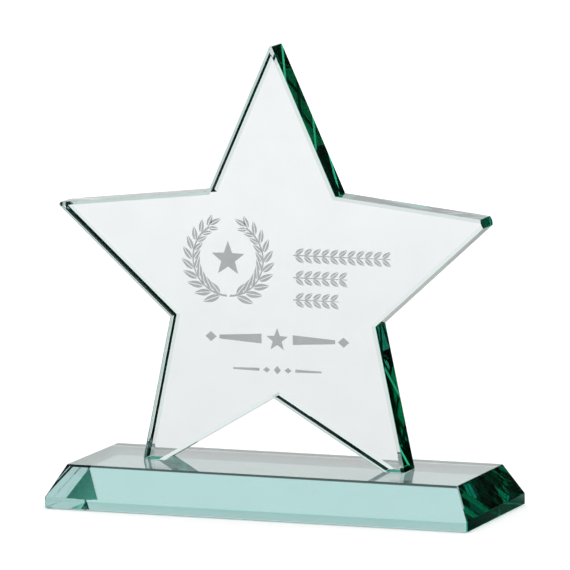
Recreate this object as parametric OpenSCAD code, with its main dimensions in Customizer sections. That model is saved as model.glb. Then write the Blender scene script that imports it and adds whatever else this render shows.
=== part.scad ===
// Star trophy in tinted plate glass.
// A bevelled five-pointed star stands on two feet, bonded to a block with sloped sides.
// Millimetres. +Z is up, -Y is the presentation side, and the origin is the centre of the
// block's underside.

/* [Star plate] */
// Thickness of the star's glass
star_t = 15; // [10:1:19]
// Centre of the star to its sharp tips, before they are blunted
tip_radius = 108.5; // [104:0.5:114]
// Centre of the star to the notches between its arms
notch_radius = 51.3; // [47:0.1:55]
// Height of the star's centre above the surface that the trophy stands on
centre_height = 99.9; // [97:0.1:101]
// How far the star is bonded to the left of the block's centre
star_shift = 3; // [0:0.5:6]
// How much higher the notch between the legs is than on a regular star
crotch_lift = 1.2; // [0:0.1:3]
// Length ground off the top tip
top_tip_cut = 1.2; // [0.6:0.1:3]
// Length ground off the left tip
left_tip_cut = 1.8; // [0.6:0.1:6]
// Length ground off the right tip
right_tip_cut = 4.6; // [0.6:0.1:6]

/* [Edge bevels of the star] */
// Width of the bevel, measured across the face
bevel_face = 1.4; // [0.6:0.1:2.4]
// Depth of the bevel, measured through the thickness
bevel_depth = 1.0; // [0.5:0.1:2.4]

/* [Block] */
// Length of the block, left to right
block_l = 200; // [190:1:220]
// Depth of the block, front to back
block_d = 78; // [70:1:90]
// Height of the block
block_h = 19; // [15:1:22]
// Height of the upright lip below the sloped sides
lip_h = 5; // [3:0.5:8]
// How far the two ends slope in
end_run = 7.5; // [4:0.5:14]
// How far the front and the back slope in
side_run = 8.5; // [4:0.5:14]

/* [Bond] */
// Thickness of the adhesive film under each foot
bond_t = 0.15; // [0.1:0.05:0.3]

/* [Hidden] */

ARM_STEP = 72;
CUTTER = 40;
TINT = [0.62, 0.80, 0.76, 0.55];
BOND_TINT = [0.90, 0.93, 0.92, 0.6];
foot_z = block_h + bond_t;

// A point at a compass angle from the star's centre, clockwise from the top, in the plane X, Z
function at_compass(radius, angle) =
    [-star_shift + radius * sin(angle), centre_height + radius * cos(angle)];

// The star's outline, clockwise from the top tip: tips and notches in turn
outline = [
    for (i = [0:9])
        i % 2 == 0 ? at_compass(tip_radius, i * ARM_STEP / 2)
        : i == 5 ? at_compass(notch_radius, 180) + [0, crotch_lift]
        : at_compass(notch_radius, i * ARM_STEP / 2)
];

function unit(v) = v / norm(v);

// Inward normal of the edge from a to b, on an outline that runs clockwise
function inward(a, b) = let (e = unit(b - a)) [e[1], -e[0]];

// The outline moved in by a distance, each corner staying a corner
function inset(points, distance) = [
    for (i = [0:len(points) - 1])
        let (
            p = points[i],
            n1 = inward(points[(i + len(points) - 1) % len(points)], p),
            n2 = inward(p, points[(i + 1) % len(points)])
        )
        p + distance * (n1 + n2) / (1 + n1 * n2)
];

// An outline in the plane X, Z stood at a depth Y, and one in X, Y laid at a height Z
function stood(points, y) = [for (p = points) [p[0], y, p[1]]];
function laid(points, z) = [for (p = points) [p[0], p[1], z]];

function middle(points) = [for (p = points) 1] * points / len(points);

// A closed solid through a list of rings, all with the same number of points, which run
// clockwise as seen from outside the first ring. Each end is closed by triangles that meet at
// the middle of its ring.
module loft(rings) {
    n = len(rings[0]);
    last = len(rings) - 1;
    centres = [middle(rings[0]), middle(rings[last])];
    first_centre = (last + 1) * n;
    walls = [
        for (r = [0:last - 1], i = [0:n - 1])
            [r * n + i, (r + 1) * n + i, (r + 1) * n + (i + 1) % n, r * n + (i + 1) % n]
    ];
    ends = [
        for (i = [0:n - 1], end = [0, 1])
            let (here = end * last * n + i, next = end * last * n + (i + 1) % n)
            end == 0 ? [here, next, first_centre] : [next, here, first_centre + 1]
    ];
    points = concat([for (ring = rings, p = ring) p], centres);
    polyhedron(points, concat(ends, walls), 10);
}

// The star with its front and back edges bevelled and its tips still sharp
module bevelled_star() {
    face = inset(outline, bevel_face);
    loft([
        stood(face, -star_t / 2),
        stood(outline, -star_t / 2 + bevel_depth),
        stood(outline, star_t / 2 - bevel_depth),
        stood(face, star_t / 2)
    ]);
}

// Grinds a length off the tip at a compass angle
module tip_cutter(angle, cut) {
    translate([-star_shift, 0, centre_height])
        rotate([0, angle, 0])
            translate([-CUTTER / 2, -star_t, tip_radius - cut])
                cube([CUTTER, 2 * star_t, CUTTER]);
}

module star_plate() {
    color(TINT) difference() {
        bevelled_star();
        tip_cutter(0, top_tip_cut);
        tip_cutter(ARM_STEP, right_tip_cut);
        tip_cutter(-ARM_STEP, left_tip_cut);
        translate([-tip_radius - CUTTER, -star_t, foot_z - CUTTER])
            cube([2 * (tip_radius + CUTTER), 2 * star_t, CUTTER]);
    }
}

// The block's outline, clockwise from below, drawn in by a run along X and a run along Y
function block_outline(run_x, run_y) = let (x = block_l / 2 - run_x, y = block_d / 2 - run_y)
    [[-x, -y], [x, -y], [x, y], [-x, y]];

module base_block() {
    color(TINT) union() {
        translate([-block_l / 2, -block_d / 2, 0])
            cube([block_l, block_d, lip_h]);
        loft([
            laid(block_outline(0, 0), lip_h),
            laid(block_outline(end_run, side_run), block_h)
        ]);
    }
}

// Where the edge from a to b crosses the foot plane
function foot_x(a, b) = a[0] + (b[0] - a[0]) * (foot_z - a[1]) / (b[1] - a[1]);

// A film that fills the joint under the foot between two edges, back to the bevels
module foot_bond(outer_edge, inner_edge) {
    x1 = foot_x(outer_edge[0], outer_edge[1]);
    x2 = foot_x(inner_edge[0], inner_edge[1]);
    film_w = abs(x2 - x1) - 2 * bevel_face;
    film_d = star_t - 2 * bevel_face;
    color(BOND_TINT)
        translate([(x1 + x2 - film_w) / 2, -film_d / 2, block_h])
            cube([film_w, film_d, bond_t]);
}

module foot_bond_left() {
    foot_bond([outline[7], outline[6]], [outline[5], outline[6]]);
}

module foot_bond_right() {
    foot_bond([outline[3], outline[4]], [outline[5], outline[4]]);
}

star_plate();
base_block();
foot_bond_left();
foot_bond_right();
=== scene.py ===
# %% [markdown]
# # A star trophy in jade glass
#
# The object is an award that stands on a desk: a five-pointed star cut from plate glass, bonded
# by its two feet to a long glass block with sloped sides. Everything a viewer sees is glass, so
# this lesson is about three things. The first is exact, closed shapes, because light is bent and
# mirrored by every face. The second is a tint that lives inside the glass and deepens with the
# length of the light's way through it. The third is light, because clear glass shows only what
# stands around it.
#
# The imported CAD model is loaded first. It fixes the frame: metres, +Z up, the front facing -Y,
# and the origin in the middle of the block's underside.

import bmesh
import bpy
import numpy as np
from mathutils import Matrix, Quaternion, Vector


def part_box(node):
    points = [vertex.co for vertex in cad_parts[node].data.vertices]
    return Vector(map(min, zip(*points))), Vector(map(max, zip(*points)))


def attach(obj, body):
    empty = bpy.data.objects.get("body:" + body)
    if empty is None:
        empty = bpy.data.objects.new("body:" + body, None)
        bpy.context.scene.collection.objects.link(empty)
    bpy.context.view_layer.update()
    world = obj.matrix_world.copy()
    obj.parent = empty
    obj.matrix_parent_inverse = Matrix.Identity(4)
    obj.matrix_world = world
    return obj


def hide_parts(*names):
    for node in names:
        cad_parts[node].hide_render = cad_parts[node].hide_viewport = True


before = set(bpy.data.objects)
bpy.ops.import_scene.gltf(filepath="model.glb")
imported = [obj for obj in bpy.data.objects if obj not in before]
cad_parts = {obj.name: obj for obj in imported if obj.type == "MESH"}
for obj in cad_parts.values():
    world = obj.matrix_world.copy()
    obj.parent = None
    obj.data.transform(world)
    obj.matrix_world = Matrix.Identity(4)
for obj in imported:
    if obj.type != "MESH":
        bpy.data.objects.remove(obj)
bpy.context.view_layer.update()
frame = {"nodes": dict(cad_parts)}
MM = 0.001
print("CAD nodes:", ", ".join(frame["nodes"]))

# %% [markdown]
# ## The camera
#
# The trophy is seen from the front right, a little above the tabletop, through a long lens from
# a few metres away, so its upright edges stay parallel. A short lens close by would make the
# block's near corner loom. The lens is worked out from how many millimetres of the object fit
# across the frame, and the small roll is that of a camera that wasn't quite level.

# %% Place the camera
SENSOR = 36.0  # mm, across the square frame
VIEW_AZIMUTH, VIEW_ELEVATION, VIEW_ROLL = np.radians([20.66, 8.3, -0.4])
VIEW_DISTANCE = 3.6628
VIEW_TARGET = Vector((0.69, 0.0, 99.83)) * MM
FRAME_WIDTH = 253.7 * MM  # what the frame takes in at the target

camera_data = bpy.data.cameras.new("camera")
camera_data.sensor_width = SENSOR
camera_data.lens = SENSOR * VIEW_DISTANCE / FRAME_WIDTH
camera = bpy.data.objects.new("camera", camera_data)
bpy.context.scene.collection.objects.link(camera)
toward_camera = Vector((
    np.sin(VIEW_AZIMUTH) * np.cos(VIEW_ELEVATION),
    -np.cos(VIEW_AZIMUTH) * np.cos(VIEW_ELEVATION),
    np.sin(VIEW_ELEVATION),
))
camera.location = VIEW_TARGET + toward_camera * VIEW_DISTANCE
camera.rotation_mode = "QUATERNION"
level = (-toward_camera).to_track_quat("-Z", "Y")
camera.rotation_quaternion = level @ Quaternion((0, 0, 1), VIEW_ROLL)
bpy.context.scene.camera = camera
print("lens in mm:", round(camera_data.lens, 1))

# %% [markdown]
# ## Small helpers
#
# Colours are written as the sRGB hex values that a maker would read off a colour card, and one
# function turns them to the linear values that light is computed with. One more adds a shader
# node, sets its sockets and links it. Two turn numpy arrays into a closed mesh, and the last one
# reads a mesh's faces back as arrays, so that a finish can be given to faces by where they point.
#
# Glass needs clean shells. A doubled point or a face turned inside out makes light bend the
# wrong way, so every new piece has its doubles merged and its faces turned outward, and says how
# many open edges it has. That number has to be 0.

# %% Colours and nodes
def hex_colour(code):
    """Linear red, green, blue and alpha of an sRGB hex colour. By the sRGB curve, a dark value v
    gives v / 12.92, and a lighter one gives ((v + 0.055) / 1.055) to the power of 2.4."""
    value = np.array([int(code[i:i + 2], 16) for i in (1, 3, 5)]) / 255
    linear = np.where(value <= 0.04045, value / 12.92, ((value + 0.055) / 1.055) ** 2.4)
    return (*linear.tolist(), 1.0)


def add_node(tree, kind, sockets=None, **settings):
    """Adds a node. sockets maps an input's name or number to a value or to another output."""
    node = tree.nodes.new(kind)
    for name, value in settings.items():
        setattr(node, name, value)
    for key, value in (sockets or {}).items():
        if isinstance(value, bpy.types.NodeSocket):
            tree.links.new(value, node.inputs[key])
        else:
            node.inputs[key].default_value = value
    return node


def new_tree(owner):
    """Gives a material or the world an empty node tree."""
    owner.use_nodes = True
    owner.node_tree.nodes.clear()
    return owner.node_tree


print("sRGB mid grey as light:", round(hex_colour("#808080")[0], 3))

# %% Pieces from arrays
MERGE_GAP = 0.001 * MM  # points nearer than this are one point


def new_piece(name, points, faces, material):
    """A mesh object from an (n, 3) array in metres and a list of faces, turned to face out."""
    mesh = bpy.data.meshes.new(name)
    mesh.from_pydata(np.asarray(points).reshape(-1, 3).tolist(), [], faces)
    shaped = bmesh.new()
    shaped.from_mesh(mesh)
    bmesh.ops.remove_doubles(shaped, verts=shaped.verts, dist=MERGE_GAP)
    bmesh.ops.dissolve_degenerate(shaped, edges=shaped.edges, dist=MERGE_GAP)
    bmesh.ops.recalc_face_normals(shaped, faces=shaped.faces)
    open_edges = sum(not edge.is_manifold for edge in shaped.edges)
    shaped.to_mesh(mesh)
    shaped.free()
    mesh.materials.append(material)
    piece = bpy.data.objects.new(name, mesh)
    bpy.context.scene.collection.objects.link(piece)
    print(f"{name}: {len(mesh.vertices)} points, {len(mesh.polygons)} faces, {open_edges} open")
    return piece


def stack_faces(rings, points, copies=1, first=0):
    """Faces of closed solids through rings of points: quads between rings, a cap at each end.
    Each copy's points follow those of the copy before, and the first one starts at first."""
    row, column = np.meshgrid(np.arange(rings - 1), np.arange(points), indexing="ij")
    here, after = row * points + column, row * points + (column + 1) % points
    quads = np.stack([here, after, after + points, here + points], axis=-1).reshape(-1, 4)
    ring = np.arange(points)
    caps = np.stack([ring[::-1], ring + (rings - 1) * points])
    start = first + rings * points * np.arange(copies)[:, None, None]
    return (quads + start).reshape(-1, 4).tolist() + (caps + start).reshape(-1, points).tolist()


def face_facts(piece):
    """Unit normals and middles of a piece's faces, as arrays."""
    polygons = piece.data.polygons
    facts = np.zeros((2, len(polygons) * 3), np.float32)
    polygons.foreach_get("normal", facts[0])
    polygons.foreach_get("center", facts[1])
    return facts.reshape(2, -1, 3)


print("faces of a cube, as a stack of two rings of four:", len(stack_faces(2, 4)))

# %% [markdown]
# ## The glass
#
# Jade plate glass is soda-lime float glass with iron in it. A few millimetres look almost clear,
# and light that has run the length of the plate comes out deep green, because iron takes away
# red first and blue next. So the tint is a Volume Absorption: each colour fades with the
# exponential of minus a rate times the distance. The surface bends light with soda-lime glass's
# IOR of 1.52, and it is optically smooth.
#
# Its two broad faces are as float glass leaves them, flat to the micrometre. The walls and the
# bevels are ground on a wheel and polished. That leaves a ripple of about a hundredth of a
# millimetre, which bends the long reflections in the walls a little, and the eye reads it as
# cut glass. The ripple could be in the mesh, but it is far too shallow for that, so it is a bump
# whose strength is a number on each face: 1 where the wheel has been, 0 on float faces.
#
# Seen end on, such a wall is a much deeper green than the volume gives over these lengths,
# because the light has already run to and fro inside the plate more times than a renderer
# follows. So each face also stores the colour that light takes as it passes through it: deep
# green on the long side walls, a paler green in the crotch between the legs, and only a breath
# of green on the bevels. A bevel that faces left is turned from the windows, so its colour
# carries painted shade and is duller.
# A soft mottling of a few percent, about as wide as the plate is thick, keeps that colour from
# being one flat value, as the streaks of uneven iron do in the real sheet.

# %% What the glass does to light
GLASS_IOR = 1.52
RIPPLE_WIDTH = 6.0 * MM  # between the wheel's ripples on a polished wall
RIPPLE_DEPTH = 0.008 * MM
STREAK_WIDTH = 15.0 * MM  # of uneven iron in the sheet
PALEST_STREAK = 0.97
STAR_RATES = (5.5, 3.6, 3.0)  # of red, green and blue taken per metre of glass
BLOCK_RATES = (8.6, 3.3, 3.6)


def absorption(per_metre):
    """Colour and density that take per_metre of each colour: 1 - colour = rate / density. The
    density is a quarter above the greatest rate, so that no colour reaches 0."""
    rate = np.array(per_metre)
    density = float(rate.max() * 1.25)
    return (*(1 - rate / density).tolist(), 1.0), density


print("light left after 100 mm of block:", np.exp(-0.1 * np.array(BLOCK_RATES)).round(2))

# %% Jade glass
def jade_glass(name, per_metre):
    """Iron-tinted plate glass, float-smooth on its faces and wheel-polished on its walls."""
    material = bpy.data.materials.new(name)
    tree = new_tree(material)
    place = add_node(tree, "ShaderNodeTexCoord").outputs["Object"]
    tint = add_node(tree, "ShaderNodeAttribute", attribute_name="tint").outputs["Color"]
    streaks = add_node(
        tree, "ShaderNodeTexNoise", {"Vector": place, "Scale": 1 / STREAK_WIDTH, "Detail": 1.0}
    )
    thin = add_node(
        tree, "ShaderNodeMapRange",
        {"Value": streaks.outputs["Fac"], "From Min": 0.3, "From Max": 0.7,
         "To Min": PALEST_STREAK, "To Max": 1.0},
    )
    shaded = add_node(
        tree, "ShaderNodeVectorMath", {0: tint, "Scale": thin.outputs[0]}, operation="SCALE"
    )
    ripple = add_node(
        tree, "ShaderNodeTexNoise", {"Vector": place, "Scale": 1 / RIPPLE_WIDTH, "Detail": 0.0}
    )
    ground = add_node(tree, "ShaderNodeAttribute", attribute_name="ground").outputs["Fac"]
    dent = add_node(
        tree, "ShaderNodeBump",
        {"Height": ripple.outputs["Fac"], "Strength": ground, "Distance": RIPPLE_DEPTH},
    )
    shader = add_node(
        tree, "ShaderNodeBsdfPrincipled",
        {"Base Color": shaded.outputs[0], "IOR": GLASS_IOR, "Transmission Weight": 1.0,
         "Roughness": 0.0, "Normal": dent.outputs[0]},
    )
    colour, density = absorption(per_metre)
    volume = add_node(
        tree, "ShaderNodeVolumeAbsorption", {"Color": colour, "Density": density}
    )
    add_node(
        tree, "ShaderNodeOutputMaterial",
        {"Surface": shader.outputs[0], "Volume": volume.outputs[0]},
    )
    return material


star_glass = jade_glass("jade_plate_glass_star", STAR_RATES)
block_glass = jade_glass("jade_plate_glass_block", BLOCK_RATES)
print("nodes in each glass:", len(star_glass.node_tree.nodes))

# %% Mark what the wheel has ground
FLOAT_FACE = "#ffffff"
STAR_WALL, CROTCH_WALL, BLOCK_WALL = "#06a65a", "#34b890", "#06a878"
# the second bevel colour is painted shade, for bevels that face left, away from the windows
BEVEL, SHADED_BEVEL = "#e2efea", "#b4cfc6"


def mark_ground(piece, finishes):
    """Stores each face's colour and whether it is ground, from pairs of a mask and a colour."""
    count = len(piece.data.polygons)
    colour = np.tile(np.array(hex_colour(FLOAT_FACE), np.float32), (count, 1))
    ground = np.zeros(count, np.float32)
    for chosen, code in finishes:
        colour[chosen] = hex_colour(code)
        ground[chosen] = 1.0
    attributes = piece.data.attributes
    attributes.new("tint", "FLOAT_COLOR", "FACE").data.foreach_set("color", colour.ravel())
    attributes.new("ground", "FLOAT", "FACE").data.foreach_set("value", ground)
    print(f"{piece.name}: {int(ground.sum())} of {count} faces are ground and polished")


# %% [markdown]
# ## Where glass is wetted
#
# Under each foot a clear adhesive fills the joint. Wetted glass has no surface left to mirror or
# bend light, which is why a good bond is nearly invisible and the foot looks as if it had grown
# into the block. Where the adhesive touches, the faces of the star, the film and the block are
# therefore a plain Transparent shader, and light goes straight on through the joint. An air gap
# there would mirror the floor and turn both feet silver. The three could also be one mesh, but
# each is a piece of its own on the real trophy. Light that crosses a joint has mostly come a
# long way through the block, so the wetted faces carry some of that green.

# %% Wetted glass
WETTED_GREEN = "#dcfff7"
wetted_glass = bpy.data.materials.new("glass_wetted_by_adhesive")
tree = new_tree(wetted_glass)
straight_on = add_node(tree, "ShaderNodeBsdfTransparent", {"Color": hex_colour(WETTED_GREEN)})
add_node(tree, "ShaderNodeOutputMaterial", {"Surface": straight_on.outputs[0]})


def mark_wetted(piece, is_wetted):
    """Gives the faces that the adhesive touches the wetted finish."""
    piece.data.materials.append(wetted_glass)
    piece.data.polygons.foreach_set("material_index", is_wetted.astype(np.int32))
    print(f"{piece.name}: {int(is_wetted.sum())} faces are wetted")


# %% [markdown]
# ## The star plate
#
# The real star is sawn from a 15 mm sheet. Its edges are ground square, polished, and given a
# bevel of about 1.4 mm round the front and the back. Then the tips are touched on a wheel, so
# that they don't chip, and the legs are cut level to stand on.
#
# It could be an extruded outline with a Bevel modifier, but a modifier makes a muddle where
# two bevels meet in a sharp tip. Here the cross-section of the edge is a short list of points,
# each an inset from the outline and a depth, and it is carried round the outline. The bevels then
# meet in true mitres, and each tip is cut by its own plane, as on the wheel. Each edge also
# has an arris, the narrow break that a polisher leaves so that it doesn't cut a hand.

# %% The star's driving sizes
STAR_SHIFT = -3.0 * MM  # the star is bonded a little left of the block's middle
STAR_CENTRE = 99.9 * MM
TIP_RADIUS, NOTCH_RADIUS = 108.5 * MM, 51.3 * MM
CROTCH_LIFT = 1.2 * MM  # the notch between the legs is ground a little higher
TIP_CUTS = np.array([1.2, 4.6, 0, 0, 1.8]) * MM  # top, right, the two feet, left
BEVEL_FACE, BEVEL_DEPTH = 1.4 * MM, 1.0 * MM
ARRIS = 0.1 * MM
ARM_STEP = 36  # degrees from a tip to the next notch
FEET = [2, 3]  # of the five tips, clockwise from the top

star_low, star_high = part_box("star_plate")
film_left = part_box("foot_bond_left")
film_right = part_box("foot_bond_right")
FOOT_Z = star_low.z
HALF_PLATE = star_high.y
print("plate thickness in mm:", round(2 * HALF_PLATE / MM, 3))


# %% The star's outline at an inset
def mitred(corners, inset):
    """Corners of a clockwise outline moved in by each inset: p + d (n1 + n2) / (1 + n1 . n2),
    where n1 and n2 are the inward unit normals of the edges that meet at p."""
    along = np.roll(corners, -1, 0) - corners
    along /= np.linalg.norm(along, axis=1, keepdims=True)
    normal = np.stack([along[:, 1], -along[:, 0]], 1)
    before = np.roll(normal, 1, 0)
    shift = (before + normal) / (1 + (before * normal).sum(1, keepdims=True))
    return corners + np.asarray(inset)[:, None, None] * shift, along


def star_rings(inset):
    """The star's outline at each inset. Tips and notches alternate at 36 degrees. A tip is two
    points, where its edges meet its cutting plane, or its own point if the plane is past it."""
    angle = np.radians(ARM_STEP * np.arange(10))
    ray = np.stack([np.sin(angle), np.cos(angle)], 1)
    centre = np.array([STAR_SHIFT, STAR_CENTRE])
    corners = centre + ray * np.where(np.arange(10) % 2, NOTCH_RADIUS, TIP_RADIUS)[:, None]
    corners[5, 1] += CROTCH_LIFT
    rings, along = mitred(corners, inset)

    plane = ray[::2].copy()  # each tip's cutting plane: its normal, and how far out it lies
    limit = plane @ centre + TIP_RADIUS - TIP_CUTS
    plane[FEET], limit[FEET] = (0.0, -1.0), -FOOT_Z
    tips, notches = rings[:, ::2], rings[:, 1::2]
    past = np.maximum((tips * plane).sum(-1) - limit, 0)[..., None]
    ends = [
        tips - past / (plane * edge).sum(1, keepdims=True) * edge
        for edge in (-np.roll(along, 1, 0)[::2], along[::2])
    ]
    return np.stack([*ends, notches], 2).reshape(len(rings), -1, 2)


print("points round the star's outline:", star_rings([0.0]).shape[1])


# %% The cross-section of the star's edge
def edge_section():
    """Insets and depths from the front face to the back: face, arris, bevel, arris, wall. Where
    a tip's flat runs out on the bevel, at cut * sin(half the tip's angle), it has a ring too."""
    slope = np.hypot(BEVEL_FACE, BEVEL_DEPTH)
    across, down = ARRIS * BEVEL_FACE / slope, ARRIS * BEVEL_DEPTH / slope
    step = np.radians(ARM_STEP)
    half_angle = np.arctan2(
        NOTCH_RADIUS * np.sin(step), TIP_RADIUS - NOTCH_RADIUS * np.cos(step)
    )
    closing = TIP_CUTS * np.sin(half_angle)
    on_bevel = sorted((d for d in closing if across < d < BEVEL_FACE - across), reverse=True)
    inset = [BEVEL_FACE + ARRIS, BEVEL_FACE - across, *on_bevel, across, 0.0]
    depth = [0.0, down]
    depth += [BEVEL_DEPTH * (1 - d / BEVEL_FACE) for d in on_bevel]
    depth += [BEVEL_DEPTH - down, BEVEL_DEPTH + ARRIS]
    return np.array(inset + inset[::-1]), np.concatenate(
        [np.array(depth) - HALF_PLATE, HALF_PLATE - np.array(depth)[::-1]]
    )


star_inset, star_depth = edge_section()
flat_rings = star_rings(star_inset)
star_points = np.stack([
    flat_rings[..., 0],
    np.broadcast_to(star_depth[:, None], flat_rings.shape[:2]),
    flat_rings[..., 1],
], -1)
print("star:", star_points.shape[0], "rings of", star_points.shape[1], "points")

# %% Make the star
STEEP = 0.6  # a wall counts as facing sideways or down when its normal passes this
LEANING = 0.3  # a bevel's normal leans at least this far to the front or the back
FLAT = 0.99  # a face is square to an axis when its normal passes this
TOUCH = 0.01 * MM  # nearer than this is level with the soles

star = new_piece("star", star_points, stack_faces(*star_points.shape[:2]), star_glass)
normals, middles = face_facts(star)
is_bevel = (np.abs(normals[:, 1]) > LEANING) & (np.abs(normals[:, 1]) < FLAT)
# front bevels that face left get painted shade in their colour
is_shaded_bevel = is_bevel & (normals[:, 0] < 0) & (normals[:, 1] < 0)
is_wall = np.abs(normals[:, 0]) > STEEP
is_crotch = (normals[:, 2] < -STEEP) & (middles[:, 2] > FOOT_Z + ARRIS) & ~is_wall & ~is_bevel
mark_ground(star, [
    (is_bevel, BEVEL), (is_shaded_bevel, SHADED_BEVEL), (is_wall, STAR_WALL), (is_crotch, CROTCH_WALL)
])
is_foot = (normals[:, 2] < -FLAT) & (middles[:, 2] < FOOT_Z + TOUCH)
mark_wetted(star, is_foot & (np.abs(middles[:, 1]) < film_left[1].y))
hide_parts("star_plate")
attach(star, "root")

# %% [markdown]
# ## The base block
#
# The block is sawn from thicker plate. It has an upright lip of 5 mm, four ground slopes above
# it, and a top that is left as float glass. Its upright corners are cut by half a millimetre and
# its underside has an arris, so light gets in under the edge and shows as a fine bright line.
#
# A cube with bevels would do for plastic. Here the rectangle is drawn in by one run along X and
# another along Y at each height, because the ends are steeper than the long sides, and the
# stack of rectangles becomes one closed shell. The ends show the block's whole length in green
# and carry the wheel's ripple. The long slopes are lapped flat and look as clear as the top.

# %% The block's rings
HALF_L, HALF_D, BLOCK_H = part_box("base_block")[1]
LIP_H = 5.0 * MM
END_RUN, SIDE_RUN = 7.5 * MM, 8.5 * MM
CORNER = 0.5 * MM
FOOT_ARRIS = 0.5 * MM


def block_ring(run_x, run_y, height):
    """A rectangle drawn in by a run along X and one along Y, with its corners cut by CORNER."""
    x, y = HALF_L - run_x, HALF_D - run_y
    corner = np.array([
        [-x + CORNER, -y], [x - CORNER, -y], [x, -y + CORNER], [x, y - CORNER],
        [x - CORNER, y], [-x + CORNER, y], [-x, y - CORNER], [-x, -y + CORNER],
    ])
    return np.column_stack([corner, np.full(8, height)])


def block_section():
    """Runs and heights up the block's side: underside, arris, lip, slope, arris, top."""
    share = ARRIS / (BLOCK_H - LIP_H)
    return [
        (FOOT_ARRIS, FOOT_ARRIS, 0.0),
        (0.15 * FOOT_ARRIS, 0.15 * FOOT_ARRIS, 0.3 * FOOT_ARRIS),  # steeper as it rises
        (0.0, 0.0, FOOT_ARRIS),
        (0.0, 0.0, LIP_H - ARRIS),
        (END_RUN * share, SIDE_RUN * share, LIP_H + ARRIS),
        (END_RUN * (1 - share), SIDE_RUN * (1 - share), BLOCK_H - ARRIS),
        (END_RUN + ARRIS, SIDE_RUN + ARRIS, BLOCK_H),
    ]


block_points = np.stack([block_ring(*step) for step in block_section()])
block = new_piece(
    "block", block_points, stack_faces(*block_points.shape[:2]), block_glass
)


# %% [markdown]
# The block's top is one large face, and only two small patches of it are wetted. The top is
# scored along the sides of both films, as with a glass cutter that leaves no mark, so that each
# patch becomes a face of its own and can take the wetted finish.

# %% Score the top and finish the block
def score_top(piece, films):
    """Cuts the top face along each side of each film's rectangle."""
    scored = bmesh.new()
    scored.from_mesh(piece.data)
    lines = [((corner.x, 0, 0), (1, 0, 0)) for film in films for corner in film]
    lines += [((0, corner.y, 0), (0, 1, 0)) for corner in films[0]]
    for point, normal in lines:
        top = [face for face in scored.faces if face.normal.z > FLAT]
        edges = {edge for face in top for edge in face.edges}
        corners = {corner for face in top for corner in face.verts}
        bmesh.ops.bisect_plane(
            scored, geom=[*top, *edges, *corners], plane_co=point, plane_no=normal
        )
    scored.to_mesh(piece.data)
    scored.free()


score_top(block, [film_left, film_right])
normals, middles = face_facts(block)
is_end = np.abs(normals[:, 0]) > STEEP
mark_ground(block, [(is_end, BLOCK_WALL)])
under_film = np.zeros(len(middles), bool)
for low, high in (film_left, film_right):
    under_film |= (
        (normals[:, 2] > FLAT) & (np.abs(middles[:, 1]) < high.y)
        & (middles[:, 0] > low.x) & (middles[:, 0] < high.x)
    )
mark_wetted(block, under_film)
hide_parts("base_block")
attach(block, "root")

# %% [markdown]
# ## The two bonds
#
# A drop of water-thin adhesive is drawn into each joint and cured with ultraviolet light. It
# leaves a film of 0.15 mm with rounded corners, and its rim is drawn in to a waist, because the
# liquid climbs both pieces of glass. Almost nothing of it is seen, apart from a thin bright line
# under each foot. A box would have the size, but its flat rim would glint as one strip, so the
# film is a stack of rounded rectangles whose inset follows half a sine wave.
#
# Its material is cured acrylic: clear, an IOR of 1.48, which is close to the glass, and a touch
# of roughness with faint specks, as no rim cures perfectly smooth.

# %% Adhesive
SPECK = 0.3 * MM
bond_clear = bpy.data.materials.new("cured_clear_adhesive")
tree = new_tree(bond_clear)
place = add_node(tree, "ShaderNodeTexCoord").outputs["Object"]
specks = add_node(tree, "ShaderNodeTexNoise", {"Vector": place, "Scale": 1 / SPECK})
haze = add_node(tree, "ShaderNodeValToRGB", {"Fac": specks.outputs["Fac"]})
for stop, code in enumerate(["#e9efec", "#fbfdfc"]):
    haze.color_ramp.elements[stop].color = hex_colour(code)
uneven = add_node(
    tree, "ShaderNodeBump",
    {"Height": specks.outputs["Fac"], "Strength": 0.3, "Distance": 0.01 * MM},
)
bond_shader = add_node(
    tree, "ShaderNodeBsdfPrincipled",
    {"Base Color": haze.outputs["Color"], "IOR": 1.48, "Transmission Weight": 1.0,
     "Roughness": 0.05, "Normal": uneven.outputs[0]},
)
add_node(tree, "ShaderNodeOutputMaterial", {"Surface": bond_shader.outputs[0]})
print("specks across a foot's depth:", round((film_left[1].y - film_left[0].y) / SPECK))

# %% Make the bonds
SKIN_GAP = 0.01 * MM  # between a film and the glass, so that no two faces coincide
FILM_CORNER = 0.8 * MM
WAIST = 0.12 * MM
FILM_LEVELS = 5
CORNER_POINTS = 7


def film_ring(low, high, inset):
    """A rectangle with round corners: each corner's middle plus a radius along the ray."""
    ray = np.radians(np.linspace(0, 90, CORNER_POINTS)[None] + 90 * np.arange(4)[:, None])
    corner = np.array([[1, 1], [-1, 1], [-1, -1], [1, -1]])
    middle = np.array([low.x + high.x, low.y + high.y]) / 2
    half = np.array([high.x - low.x, high.y - low.y]) / 2 - FILM_CORNER
    reach = (FILM_CORNER - inset) * np.stack([np.cos(ray), np.sin(ray)], -1)
    return (middle + (corner * half)[:, None] + reach).reshape(-1, 2)


for side, (low, high) in (("left", film_left), ("right", film_right)):
    share = np.linspace(0, 1, FILM_LEVELS)
    heights = low.z + SKIN_GAP + share * (high.z - low.z - 2 * SKIN_GAP)
    film_points = np.stack([
        np.insert(film_ring(low, high, inset), 2, height, axis=1)
        for inset, height in zip(WAIST * np.sin(np.pi * share), heights)
    ])
    bond = new_piece(
        f"bond_{side}", film_points, stack_faces(*film_points.shape[:2]), bond_clear
    )
    mark_wetted(bond, np.abs(face_facts(bond)[0][:, 2]) > FLAT)
    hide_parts(f"foot_bond_{side}")
    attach(bond, "root")

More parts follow.
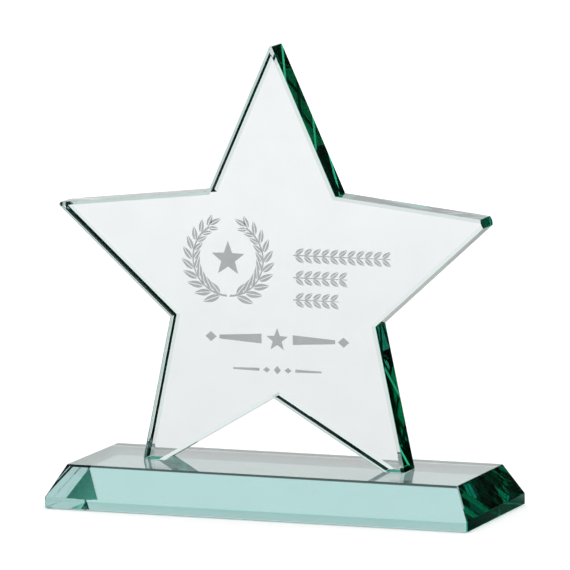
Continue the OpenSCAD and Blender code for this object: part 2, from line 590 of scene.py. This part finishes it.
# %% [markdown]
# ## The frosted engraving
#
# The front face carries a sandblasted award motif, of this lesson's own design: a laurel wreath
# round a small star, three garlands of laurel leaves beside it, an ornamental rule with a star in
# its middle, and a thin rule below. It has no lettering. A rubber mask is stuck on the glass, the
# motif is cut out of it, and fine grit is blasted through the openings.
#
# Blasted glass is matt because thousands of tiny chips scatter light. It could be a pattern in
# the glass's own material, but then it would be lost in any copy of the mesh. So each outline is
# a thin closed skin that lies on the face, a few hundredths of a millimetre proud. Outlines are
# arrays of points (x, z), with x counted from the star's centre line and z from the table.

# %% Outlines of the motif
FACE_Y = -HALF_PLATE


def leaves(bases, angles, lengths, width=0.34, rib=0.16 * MM):
    """Two halves of each leaf. Along the leaf, u runs from 0 to 1, and a half reaches from the
    rib to width * length * sin(pi u^0.8) / 2 from it, so the leaf is fullest before its middle."""
    u = np.linspace(0.0, 1.0, 9)
    half = width * 0.5 * np.sin(np.pi * u ** 0.8)
    x = lengths[:, None] * np.concatenate([u, u[-2:0:-1]])
    y = lengths[:, None] * np.concatenate([half, np.zeros(len(u) - 2)]) + rib
    cos, sin = np.cos(angles)[:, None], np.sin(angles)[:, None]
    halves = [
        np.stack([bases[:, :1] + x * cos - way * y * sin,
                  bases[:, 1:] + x * sin + way * y * cos], -1)
        for way in (1.0, -1.0)
    ]
    return np.concatenate([halves[0], halves[1][:, ::-1]])


def lozenge(x, z, width, height):
    """A lozenge drawn through its four ends."""
    ends = np.array([[1, 0], [0, 1], [-1, 0], [0, -1]]) * 0.5
    return ([x, z] + ends * [width, height])[None]


def small_star(x, z, radius):
    """A five-pointed star: the radius swaps between full and 0.42 of it every 36 degrees."""
    angle = np.pi / 2 + np.pi / 5 * np.arange(10)
    reach = radius * np.where(np.arange(10) % 2, 0.42, 1.0)
    return np.stack([x + reach * np.cos(angle), z + reach * np.sin(angle)], -1)[None]


def taper(x_thick, x_thin, z, thick, thin):
    """A rule that narrows from one end to the other."""
    return np.array([[[x_thick, z - thick / 2], [x_thick, z + thick / 2],
                      [x_thin, z + thin / 2], [x_thin, z - thin / 2]]])


def stem(radius, thick, start, stop):
    """A band between two arcs about a wreath's middle."""
    angle = np.radians(np.linspace(start, stop, 25))
    ray = np.stack([np.cos(angle), np.sin(angle)], -1)
    return np.concatenate([(radius + thick / 2) * ray, (radius - thick / 2) * ray[::-1]])[None]


print("points round a stem:", stem(1.0, 0.1, 0, 90).shape[1])

# %% The laurel wreath and its star
WREATH_MIDDLE = np.array([-20.5, 111.5]) * MM
WREATH_RADIUS = 16.8 * MM
EMBLEM_RADIUS = 8.2 * MM
LEAF_PAIRS = 10
LEAF_LENGTHS = (8.4 * MM, 5.8 * MM)  # of the lowest and the highest outward leaf
INWARD_SIZE = 0.82  # of an inward leaf beside an outward one
LEAF_ARC, STEM_ARC = (-76, 56), (-88, 58)  # degrees up from the right
OUTWARD, INWARD = np.radians([34, -36])  # how far leaves turn from the stem
BESIDE_STEM = 0.45 * MM
END_LEAF = np.array([-0.9, 1.3]) * MM  # from the highest pair to the last leaf
STEM_THICK = 0.5 * MM


def wreath():
    """Leaf pairs spread evenly along an arc, each turned off the arc's tangent, and a last leaf
    at the end. The left branch is the right one with x reversed."""
    spread = np.radians(np.linspace(*LEAF_ARC, LEAF_PAIRS))
    ray = np.stack([np.cos(spread), np.sin(spread)], -1)
    length = np.linspace(*LEAF_LENGTHS, LEAF_PAIRS)
    tangent = spread + np.pi / 2
    branch = [
        leaves((WREATH_RADIUS + BESIDE_STEM) * ray, tangent - OUTWARD, length),
        leaves((WREATH_RADIUS - BESIDE_STEM) * ray, tangent - INWARD, length * INWARD_SIZE),
        leaves(WREATH_RADIUS * ray[-1:] + END_LEAF, tangent[-1:] + 0.1, length[-1:]),
        stem(WREATH_RADIUS, STEM_THICK, *STEM_ARC),
    ]
    both_sides = [part for half in branch for part in (half, half[:, ::-1] * [-1, 1])]
    return [part + WREATH_MIDDLE for part in both_sides]


motif = wreath() + [small_star(*WREATH_MIDDLE, EMBLEM_RADIUS)]
print("outlines in the wreath:", sum(len(outlines) for outlines in motif))

# %% The garlands
GARLAND_X = 11.6 * MM
GARLAND_STEP, GARLAND_LEAF = 4.1 * MM, 4.9 * MM
GARLAND_LIFT = 0.42 * MM  # leaves spring this far above and below the stem
GARLAND_LEAD = 1.2 * MM  # of bare stem before the first pair
GARLAND_STEM = (0.55 * MM, 0.35 * MM)  # thick at its start and its end
GARLANDS = ((114.5 * MM, 11), (104.5 * MM, 6), (94.5 * MM, 5))  # height and leaf pairs


def garland(z, pairs):
    """Leaf pairs at equal steps along a straight stem, turned 36 degrees up and down."""
    x = GARLAND_X + GARLAND_STEP * np.arange(pairs)
    turn, length = np.full(pairs, np.radians(36)), np.full(pairs, GARLAND_LEAF)
    parts = [
        leaves(
            np.column_stack([x, np.full(pairs, z + way * GARLAND_LIFT)]), way * turn, length,
            width=0.4, rib=0.12 * MM,
        )
        for way in (1, -1)
    ]
    return parts + [taper(x[0] - GARLAND_LEAD, x[-1] + GARLAND_LEAF * 0.8, z, *GARLAND_STEM)]


for row in GARLANDS:
    motif += garland(*row)
print("leaf pairs in the garlands:", sum(pairs for _, pairs in GARLANDS))

# %% The ornamental rules
RULE_X = 2.6 * MM  # the middle of both rules
RULE_Z, THIN_RULE_Z = 76.4, 62.5
# all in mm: start and end along the rule, its height, and how thick at each end
BARS = np.array([[7.4, 27.5, RULE_Z, 4.4, 1.8], [8.5, 21.0, THIN_RULE_Z, 1.4, 0.8]]) * MM
# all in mm: place along the rule, its height, and the lozenge's width and height
LOZENGES = np.array([[31.5, RULE_Z, 5.4, 4.6], [5.1, THIN_RULE_Z, 3.4, 2.6]]) * MM
MIDDLE_STAR = np.array([0.0, RULE_Z - 0.3, 5.4]) * MM
MIDDLE_LOZENGE = np.array([0.0, THIN_RULE_Z, 3.4, 3.8]) * MM

rules = [small_star(*MIDDLE_STAR), lozenge(*MIDDLE_LOZENGE)]
for way in (1, -1):
    rules += [taper(way * start, way * end, *rest) for start, end, *rest in BARS]
    rules += [lozenge(way * place, *rest) for place, *rest in LOZENGES]
motif += [outlines + [RULE_X, 0.0] for outlines in rules]
print("outlines in the motif:", sum(len(outlines) for outlines in motif))

# %% [markdown]
# The frost is painted mid grey against the pale glass: the grey is painted shade, because most
# of the light that it scatters goes back into the plate. Its grit is about 0.1 mm, finer than can
# be seen from here, so it is drawn at 0.4 mm, with a slow cloudiness of 8 mm where the nozzle
# has passed twice.

# %% Sandblasted frost
GRIT, CLOUD = 0.4 * MM, 8.0 * MM
frost_and_painted_shade = bpy.data.materials.new("sandblasted_frost_and_painted_shade")
tree = new_tree(frost_and_painted_shade)
place = add_node(tree, "ShaderNodeTexCoord").outputs["Object"]
grit = add_node(tree, "ShaderNodeTexNoise", {"Vector": place, "Scale": 1 / GRIT, "Detail": 3.0})
cloud = add_node(tree, "ShaderNodeTexNoise", {"Vector": place, "Scale": 1 / CLOUD})
speckle = add_node(
    tree, "ShaderNodeMath", {0: grit.outputs["Fac"], 1: 0.6, 2: 0.2}, operation="MULTIPLY_ADD"
)
depth = add_node(
    tree, "ShaderNodeMath", {0: cloud.outputs["Fac"], 1: 0.4, 2: speckle.outputs[0]},
    operation="MULTIPLY_ADD",
)
shade = add_node(tree, "ShaderNodeValToRGB", {"Fac": depth.outputs[0]})
# the grey of both stops is painted shade, for the light that the frost scatters into the plate
for stop, (position, code) in enumerate([(0.42, "#a0a3a5"), (0.98, "#b6b9ba")]):
    shade.color_ramp.elements[stop].position = position
    shade.color_ramp.elements[stop].color = hex_colour(code)
chips = add_node(
    tree, "ShaderNodeBump",
    {"Height": grit.outputs["Fac"], "Strength": 0.25, "Distance": 0.05 * MM},
)
frost_shader = add_node(
    tree, "ShaderNodeBsdfPrincipled",
    {"Base Color": shade.outputs["Color"], "Roughness": 0.9, "IOR": GLASS_IOR,
     "Specular IOR Level": 0.2, "Normal": chips.outputs["Normal"]},
)
add_node(tree, "ShaderNodeOutputMaterial", {"Surface": frost_shader.outputs[0]})
print("grains to one cloud:", round(CLOUD / GRIT))

# %% Make the engraving
SKIN = [(1.0, 0.006), (1.0, 0.016), (0.965, 0.026)]  # size, and mm proud of the face
STAGGER = 0.002 * MM  # neighbours differ by this, so that no two overlapping skins coincide


def frosted(outlines):
    """A closed skin over each outline: p' = m + s (p - m), with m the outline's middle, for each
    size s of the skin, at its own distance from the face."""
    middle = outlines.mean(1, keepdims=True)
    lift = STAGGER * (np.arange(len(outlines)) % 4)[:, None, None]
    rings = []
    for size, proud in SKIN:
        flat = middle + (outlines - middle) * size
        depth = np.broadcast_to(FACE_Y - proud * MM - lift, flat[..., :1].shape)
        rings.append(np.concatenate([flat[..., :1] + STAR_SHIFT, depth, flat[..., 1:]], -1))
    return np.stack(rings, 1)


skin_points, skin_faces, total = [], [], 0
for outlines in motif:
    skins = frosted(outlines)
    count, levels, corners = skins.shape[:3]
    skin_faces += stack_faces(levels, corners, count, total)
    skin_points.append(skins.reshape(-1, 3))
    total += count * levels * corners
engraving = new_piece("engraving", np.concatenate(skin_points), skin_faces, frost_and_painted_shade)
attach(engraving, "root")

# %% [markdown]
# ## How glass is lit
#
# A clear trophy is shown in bright field: the backdrop and the floor behind it are white, and
# the rest of the room is dark. Straight through the plate one sees white. At the edges and walls
# light has been turned aside, and there one sees the dark room, or one of a few windows and
# lamps, tinted by the long way through the glass. That gives the black and emerald facets. The
# dark is that of black cloth, a little lighter inside the glass, where stray light adds up.
#
# A polarising filter takes the shine off upright walls, so what is mirrored on the outside
# of the glass isn't the same as what is mirrored within it. Light Path tells the two apart. Its
# Glossy Depth counts mirrorings and its Transmission Depth counts crossings: neither has
# happened when one looks straight at the backdrop, only the first for shine on the
# outside, and both for light that has been inside.
#
# The lights are round and soft, and fixed in the room, not to the camera. The world draws them,
# so they need no lamps: each is full within a radius and fades over a soft rim.

# %% Studio lights
DARK_OUTSIDE, DARK_WITHIN = 0.012, 0.03  # the room as mirrored on the glass and inside it
BACKDROP, FILL = 1.07, 1.1  # seen straight, and as light on matt things
# azimuth from -Y toward +X, elevation, radius and soft rim in degrees, and strength
SHEEN_LIGHTS = [(206, 6, 15, 9, 1.0)]
INNER_LIGHTS = [
    (206, 2, 8, 20, 1.0),
    (205, 26, 5, 4, 0.17),
    (157, -1, 11, 4, 0.8),
    (183, 0, 13, 4, 0.9),
    (238, 2, 14, 8, 0.8),
    (5, 22, 14, 8, 1.0),
    (30, 4, 10, 6, 0.6),
    (40, 50, 9, 5, 2.0),
    (110, 6, 9, 5, 0.3),
]


def soft_lights(tree, direction, lights, dark):
    """The brightest of several lights, or the dark room between them. A light is smoothly
    stepped from 0 to its strength by the cosine between the ray and the light's direction."""
    shine = dark
    for azimuth, elevation, radius, rim, strength in lights:
        a, e, whole, edge = np.radians([azimuth, elevation, radius, radius + rim])
        middle = (np.sin(a) * np.cos(e), -np.cos(a) * np.cos(e), np.sin(e))
        near = add_node(
            tree, "ShaderNodeVectorMath", {0: direction, 1: middle}, operation="DOT_PRODUCT"
        )
        lamp = add_node(
            tree, "ShaderNodeMapRange",
            {"Value": near.outputs["Value"], "From Min": np.cos(edge), "From Max": np.cos(whole),
             "To Max": strength},
            interpolation_type="SMOOTHSTEP",
        )
        brightest = add_node(
            tree, "ShaderNodeMath", {0: shine, 1: lamp.outputs[0]}, operation="MAXIMUM"
        )
        shine = brightest.outputs[0]
    return shine


print("lights in the room:", len(SHEEN_LIGHTS) + len(INNER_LIGHTS))

# %% The world
world = bpy.data.worlds.new("studio")
bpy.context.scene.world = world
tree = new_tree(world)
direction = add_node(tree, "ShaderNodeTexCoord").outputs["Generated"]
paths = add_node(tree, "ShaderNodeLightPath").outputs
mirrored, crossed, scattered = [
    add_node(tree, "ShaderNodeMath", {0: paths[f"{kind} Depth"], 1: 0.5}, operation="GREATER_THAN")
    for kind in ("Glossy", "Transmission", "Diffuse")
]
strength = add_node(
    tree, "ShaderNodeMix",
    {"Factor": crossed.outputs[0],
     "A": soft_lights(tree, direction, SHEEN_LIGHTS, DARK_OUTSIDE),
     "B": soft_lights(tree, direction, INNER_LIGHTS, DARK_WITHIN)},
)
strength = add_node(
    tree, "ShaderNodeMix",
    {"Factor": mirrored.outputs[0], "A": BACKDROP, "B": strength.outputs[0]},
)
strength = add_node(
    tree, "ShaderNodeMix",
    {"Factor": scattered.outputs[0], "A": strength.outputs[0], "B": FILL},
)
studio = add_node(tree, "ShaderNodeBackground", {"Strength": strength.outputs[0]})
studio.inputs["Color"].default_value = (1, 1, 1, 1)
add_node(tree, "ShaderNodeOutputWorld", {"Surface": studio.outputs[0]})
print("nodes in the world:", len(tree.nodes))

# %% [markdown]
# ## The floor
#
# The trophy stands on a white table in the same bright field, and the table's light and shade
# are painted into its colour. Seen straight, the table is pale everywhere, with a little painted
# shade near the block. Mirrored in the glass it has a painted pool of light just behind the
# block and to the left, and painted shade in front, to the right and far off, where black cards
# would lie out of the picture. Close to the block's long sides it carries a painted shadow of the
# block, and painted green light, for the light that gets there through the block. The camera's
# own view of the table gets a small lift, so that it burns out to white as the backdrop does.
# Real cards would need a mesh each, and would show in every other view, so the light and shade
# are painted as steps of brightness in one paint.

# %% How bright the table is
TABLE_LIFT = 0.2
# how pale the table is seen straight: the nearer value is painted shade near the block
NEAR_PALE_SHADED, FAR_PALE = 0.9, 0.97
# colour of the painted green light on the table beside the block, as if come through the glass
GREEN_LIGHT_THROUGH_BLOCK = "#9ff8e2"

table_painted_light_and_shade = bpy.data.materials.new("pale_table_painted_light_and_shade")
tree = new_tree(table_painted_light_and_shade)
paths = add_node(tree, "ShaderNodeLightPath").outputs
place = add_node(tree, "ShaderNodeTexCoord").outputs["Object"]
spot = add_node(tree, "ShaderNodeSeparateXYZ", {0: place}).outputs
away = add_node(tree, "ShaderNodeVectorMath", {0: place}, operation="LENGTH").outputs["Value"]
off_side = add_node(tree, "ShaderNodeMath", {0: spot["Y"]}, operation="ABSOLUTE").outputs[0]
# what is measured, from and to where in metres, and how bright the table is at each
steps = {
    # seen straight: painted shade near the block, paler far off
    "seen": (away, 0.25, 1.2, NEAR_PALE_SHADED, FAR_PALE),
    # painted shade in front of the block, painted light behind it
    "front to back": (spot["Y"], -0.05, 0.03, 0.04, 0.95),
    # painted shade to the right of the block
    "left to right": (spot["X"], 0.09, 0.13, 1.0, 0.1),
    # painted shadow of the block along its long sides
    "painted shadow beside the block": (off_side, HALF_D, HALF_D + 0.025, 0.28, 1.0),
    # painted green light close to the block, fading out clear of it
    "painted green light fading from the block": (off_side, HALF_D + 0.01, HALF_D + 0.04, 0.0, 1.0),
    # painted pool of light that fades far off
    "painted light fading far off": (away, 0.3, 0.6, 1.0, 0.01),
    # painted light that stays on far to the left
    "painted light far to the left": (spot["X"], -0.3, -0.2, 1.0, 0.0),
}
step = {
    name: add_node(
        tree, "ShaderNodeMapRange",
        dict(zip(("Value", "From Min", "From Max", "To Min", "To Max"), values)),
        interpolation_type="SMOOTHSTEP",
    ).outputs["Result"]
    for name, values in steps.items()
}
print("steps of brightness:", ", ".join(steps))

# %% Paint the table
# the table as mirrored in the glass: painted pools of light, times painted shade in front, to the
# right and beside the block
lit = add_node(
    tree, "ShaderNodeMath", {0: step["painted light fading far off"], 1: step["painted light far to the left"]}, operation="MAXIMUM"
)
for name in ("front to back", "left to right", "painted shadow beside the block"):
    lit = add_node(
        tree, "ShaderNodeMath", {0: lit.outputs[0], 1: step[name]}, operation="MULTIPLY"
    )
mirrored = add_node(
    tree, "ShaderNodeMath", {0: paths["Glossy Depth"], 1: 0.5}, operation="GREATER_THAN"
)
# painted green light near the block, white clear of it
painted_green_light = add_node(tree, "ShaderNodeValToRGB", {"Fac": step["painted green light fading from the block"]})
painted_green_light.color_ramp.elements[0].color = hex_colour(GREEN_LIGHT_THROUGH_BLOCK)
tinted = add_node(
    tree, "ShaderNodeVectorMath", {0: painted_green_light.outputs["Color"], "Scale": lit.outputs[0]},
    operation="SCALE",
)
paint = add_node(
    tree, "ShaderNodeMix",
    {"Factor": mirrored.outputs[0], 4: step["seen"], 5: tinted.outputs[0]},
    data_type="VECTOR",
)
matt = add_node(tree, "ShaderNodeBsdfDiffuse", {"Color": paint.outputs[1]})
lift = add_node(
    tree, "ShaderNodeMath", {0: paths["Is Camera Ray"], 1: TABLE_LIFT}, operation="MULTIPLY"
)
glow = add_node(tree, "ShaderNodeEmission", {"Strength": lift.outputs[0]})
table = add_node(tree, "ShaderNodeAddShader", {0: matt.outputs[0], 1: glow.outputs[0]})
add_node(tree, "ShaderNodeOutputMaterial", {"Surface": table.outputs[0]})

FLOOR_DROP = 0.3 * MM  # below the block, so that the two faces don't coincide
FLOOR_REACH = 12.0
floor_corners = FLOOR_REACH * np.array([[-1, -1], [1, -1], [1, 1], [-1, 1]])
floor = new_piece(
    "floor", np.insert(floor_corners, 2, -FLOOR_DROP, axis=1), [[0, 1, 2, 3]], table_painted_light_and_shade
)

# %% [markdown]
# ## Finish
#
# Light bounces dozens of times in cut glass before it leaves, and each bounce that is cut short
# turns a green facet black, so the bounces are raised. The plain Standard view keeps white
# white.

# %% Bounces and view
GLASS_BOUNCES = 48
scene = bpy.context.scene
scene.view_settings.view_transform = "Standard"
scene.cycles.max_bounces = GLASS_BOUNCES
scene.cycles.transmission_bounces = GLASS_BOUNCES
scene.cycles.glossy_bounces = GLASS_BOUNCES
scene.cycles.use_denoising = True
